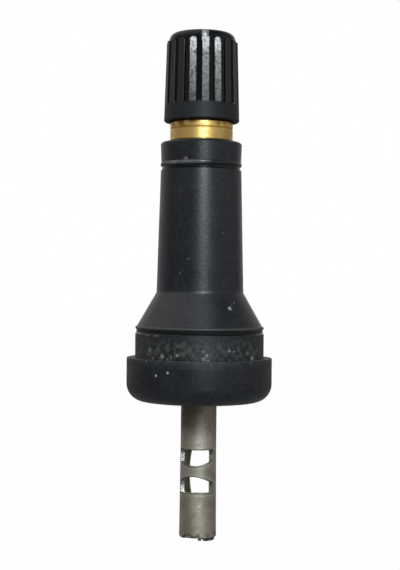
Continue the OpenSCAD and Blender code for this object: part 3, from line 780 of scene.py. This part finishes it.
DRAWN_DEPTH = 0.000004
spring_steel, net, skin = new_finish("spring_steel", Metallic=1.0)
drawn = use_group(net, turned, {"Scale": 14000.0})
haze = use_group(net, clouds, {"Scale": 1500.0, "Low": 0.35, "High": 0.7})
cover(net, skin, tint(net, haze, (0.60, 0.61, 0.63), (0.48, 0.48, 0.49)), spread(net, haze, 0.2, 0.36))
emboss(net, skin, drawn, DRAWN_DEPTH)

# %% [markdown]
# ### Solids and their slots
# The record names a slot for every solid, so one loop gives each solid the finish of its slot.

# %% Dress the solids
FINISHES = {
    "cap_plastic": cap_plastic, "body_rubber": body_rubber, "seal_rubber": seal_rubber,
    "brass": turned_brass, "tail_metal": tail_metal, "gasket": red_gasket, "spring_steel": spring_steel,
}


def dress(piece, slot):
    """Gives a piece the finish of a record slot, all over."""
    piece.data.materials.clear()
    piece.data.materials.append(FINISHES[slot])


for subpart in frame["record"]["subparts"]:
    dress(nodes[subpart["node"]], subpart["material_slot"])

# %% [markdown]
# ## Screw threads
# The solids carry the cap thread as plain cylinders: the stem at the thread's root, the cap's bore at
# its crests. A thread is a small trapezoid swept round the axis, and the Screw modifier does just
# that. The cap's ridge starts half a pitch off the stem's, so the two lie in each other's grooves.

# %% Helpers for modelling
MERGE = 1e-7


def pick(piece, test):
    """In edit mode, selects the vertices whose place passes the test."""
    bpy.ops.mesh.select_mode(type="VERT")
    bpy.ops.mesh.select_all(action="DESELECT")
    bpy.ops.object.mode_set(mode="OBJECT")
    for vertex in piece.data.vertices:
        vertex.select = test(vertex.co)
    bpy.ops.object.mode_set(mode="EDIT")


def sweep(piece, turns, rise, steps):
    """Sweeps an outline round the axis with the Screw modifier."""
    screw = piece.modifiers.new("sweep", "SCREW")
    screw.axis = "Z"
    screw.angle = 2 * math.pi
    screw.screw_offset = rise
    screw.iterations = turns
    screw.steps = screw.render_steps = steps
    bpy.ops.object.modifier_apply(modifier=screw.name)


def close_mesh(piece, smooth_angle):
    """Merges doubles, fills open ends, turns the faces outwards and smooths the shading."""
    bpy.ops.object.mode_set(mode="EDIT")
    bpy.ops.mesh.select_all(action="SELECT")
    bpy.ops.mesh.remove_doubles(threshold=MERGE)
    bpy.ops.mesh.fill_holes(sides=0)
    bpy.ops.mesh.select_all(action="SELECT")
    bpy.ops.mesh.normals_make_consistent(inside=False)
    bpy.ops.object.mode_set(mode="OBJECT")
    bpy.ops.object.shade_smooth_by_angle(angle=math.radians(smooth_angle))
    print(piece.name, len(piece.data.polygons), "faces")


print("helpers:", pick.__name__, sweep.__name__, close_mesh.__name__)

# %% Thread ridges
PITCH = 0.00079375
ROOT_R = 0.00341
CREST_R = 0.00387
BORE_R = 0.003925
CAP_CREST_R = 0.003485
RIDGE_FOOT = 0.70 * PITCH
RIDGE_CREST = 0.14 * PITCH
BURIED = 0.00004
THREAD_STEPS = 64
THREAD_LENGTH = 0.0076
STEM_TURNS = 9
CAP_TURNS = 7


def thread_ridge(name, foot_r, crest_r, start_z, turns):
    """A helical ridge with its wide foot at foot_r and its narrow crest at crest_r."""
    clear_selection()
    bpy.ops.mesh.primitive_plane_add(size=1, rotation=(math.pi / 2, 0, 0))
    ridge = bpy.context.object
    ridge.name = name
    bpy.ops.object.transform_apply(location=True, rotation=True, scale=True)
    bpy.ops.object.mode_set(mode="EDIT")
    bpy.ops.transform.resize(value=(abs(crest_r - foot_r), 1, RIDGE_FOOT), center_override=(0, 0, 0))
    bpy.ops.transform.translate(value=((foot_r + crest_r) / 2, 0, start_z))
    pick(ridge, lambda point: abs(point.x - crest_r) < abs(point.x - foot_r))
    bpy.ops.transform.resize(value=(1, 1, RIDGE_CREST / RIDGE_FOOT), center_override=(crest_r, 0, start_z))
    bpy.ops.mesh.select_all(action="SELECT")
    bpy.ops.mesh.delete(type="ONLY_FACE")
    bpy.ops.object.mode_set(mode="OBJECT")
    sweep(ridge, turns, PITCH, THREAD_STEPS)
    close_mesh(ridge, 40)
    return ridge


thread_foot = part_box("brass_stem")[1].z - THREAD_LENGTH
stem_thread = thread_ridge("stem_thread", ROOT_R - BURIED, CREST_R, thread_foot, STEM_TURNS)
dress(stem_thread, "brass")
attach(stem_thread, "valve_body")

cap_thread = thread_ridge("cap_thread", BORE_R + BURIED, CAP_CREST_R, thread_foot + 1.5 * PITCH, CAP_TURNS)
dress(cap_thread, "cap_plastic")
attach(cap_thread, "cap")

# %% [markdown]
# ## Spring
# The solid spring is a coarse six-sided wire, and it can't shorten. A curve with a round bevel could
# replace it, but the Screw modifier needs only a circle and makes even rings. The wire is swept in
# three runs, a closed turn at each end and the open turns between, and joined to one coil. A closed
# turn rises by one wire's thickness.

# %% Smooth spring
WIRE_R = 0.00013
WIRE_SIDES = 12
COIL_R = 0.00092
COIL_STEPS = 40
OPEN_TURNS = 6

spring_low, spring_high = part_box("core_spring")
coil_height = spring_high.z - spring_low.z
closed_rise = 2 * WIRE_R
open_rise = (coil_height - 3 * closed_rise) / OPEN_TURNS
foot_z = spring_low.z + WIRE_R
runs = []
for label, start_z, turns, rise in (
        ("foot", foot_z, 1, closed_rise),
        ("coil", foot_z + closed_rise, OPEN_TURNS, open_rise),
        ("head", foot_z + closed_rise + OPEN_TURNS * open_rise, 1, closed_rise)):
    clear_selection()
    bpy.ops.mesh.primitive_circle_add(vertices=WIRE_SIDES, radius=WIRE_R, location=(COIL_R, 0, start_z),
                                      rotation=(math.pi / 2, 0, 0))
    run = bpy.context.object
    run.name = "spring_" + label
    bpy.ops.object.transform_apply(location=True, rotation=True, scale=True)
    sweep(run, turns, rise, COIL_STEPS)
    runs.append(run)
clear_selection()
for run in runs:
    run.select_set(True)
bpy.context.view_layer.objects.active = runs[1]
bpy.ops.object.join()
spring = bpy.context.object
spring.name = "smooth_spring"
close_mesh(spring, 60)
dress(spring, "spring_steel")
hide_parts("core_spring")
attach(spring, "valve_body")
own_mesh(spring)

# %% [markdown]
# ## Rubber body
# The solid's triangles are long and coarse, so the lamp's streak breaks where it crosses the bead and
# the lip. The body is round, like its mould, so its section holds its whole form. The solid's copy is
# bisected down to that section, and the section is turned round the axis again in fine steps. It is
# drawn in by a hair first, so that the body stays inside the box of the solids.

# %% Finely turned body
TURN_STEPS = 160
FACET_SHARE = 0.9994

clear_selection()
nodes["rubber_body"].select_set(True)
bpy.context.view_layer.objects.active = nodes["rubber_body"]
bpy.ops.object.duplicate()
body = bpy.context.object
body.name = "turned_body"
bpy.ops.mesh.customdata_custom_splitnormals_clear()
bpy.ops.object.mode_set(mode="EDIT")
bpy.ops.mesh.select_all(action="SELECT")
bpy.ops.mesh.remove_doubles(threshold=MERGE)
bpy.ops.mesh.bisect(plane_co=(0, 0, 0), plane_no=(0, 1, 0), clear_inner=True, clear_outer=True)
pick(body, lambda point: point.x < 0)
bpy.ops.mesh.delete(type="VERT")
bpy.ops.mesh.select_all(action="SELECT")
bpy.ops.transform.resize(value=(FACET_SHARE, 1, 1), center_override=(0, 0, 0))
bpy.ops.object.mode_set(mode="OBJECT")
print("section:", len(body.data.vertices), "points,", len(body.data.edges), "edges")
sweep(body, 1, 0.0, TURN_STEPS)
close_mesh(body, 28)
dress(body, "body_rubber")
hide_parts("rubber_body")
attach(body, "valve_body")

# %% [markdown]
# ## Moulding nib
# Rubber is pressed into its mould through small vents, and one of them left a nib on the bead under
# the collar. A short cylinder is drawn in to a smaller top and its edges are rounded. It is made on the
# X axis and then turned to its place. With no window, rotate turns the other way, so the turn is negative.

# %% Nib on the collar
NIB_TURN = math.radians(-112)
NIB_R = 0.00020
NIB_SIDES = 16
NIB_REACH = 0.0048
NIB_TOP = 0.00502
NIB_HEIGHT = 0.02412
NIB_DRAW = 0.6
NIB_ROUND = 0.00004
TOP_MARGIN = 1e-6

clear_selection()
bpy.ops.mesh.primitive_cylinder_add(
    vertices=NIB_SIDES, radius=NIB_R, depth=NIB_TOP - NIB_REACH,
    location=((NIB_TOP + NIB_REACH) / 2, 0, 0), rotation=(0, math.pi / 2, 0))
nib = bpy.context.object
nib.name = "mould_nib"
bpy.ops.object.transform_apply(location=True, rotation=True, scale=True)
bpy.ops.object.mode_set(mode="EDIT")
pick(nib, lambda point: point.x > NIB_TOP - TOP_MARGIN)
bpy.ops.transform.resize(value=(1, NIB_DRAW, NIB_DRAW), center_override=(NIB_TOP, 0, 0))
bpy.ops.mesh.bevel(offset=NIB_ROUND, segments=3, affect="EDGES")
bpy.ops.mesh.select_all(action="SELECT")
bpy.ops.transform.rotate(value=-NIB_TURN, orient_axis="Z", center_override=(0, 0, 0))
bpy.ops.transform.translate(value=(0, 0, NIB_HEIGHT))
close_mesh(nib, 50)
tip = max((vertex.co for vertex in nib.data.vertices), key=lambda point: math.hypot(point.x, point.y))
print("nib at turn %.0f degrees, z %.2f mm" % (math.degrees(math.atan2(tip.y, tip.x)), tip.z * 1000))
dress(nib, "body_rubber")
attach(nib, "valve_body")
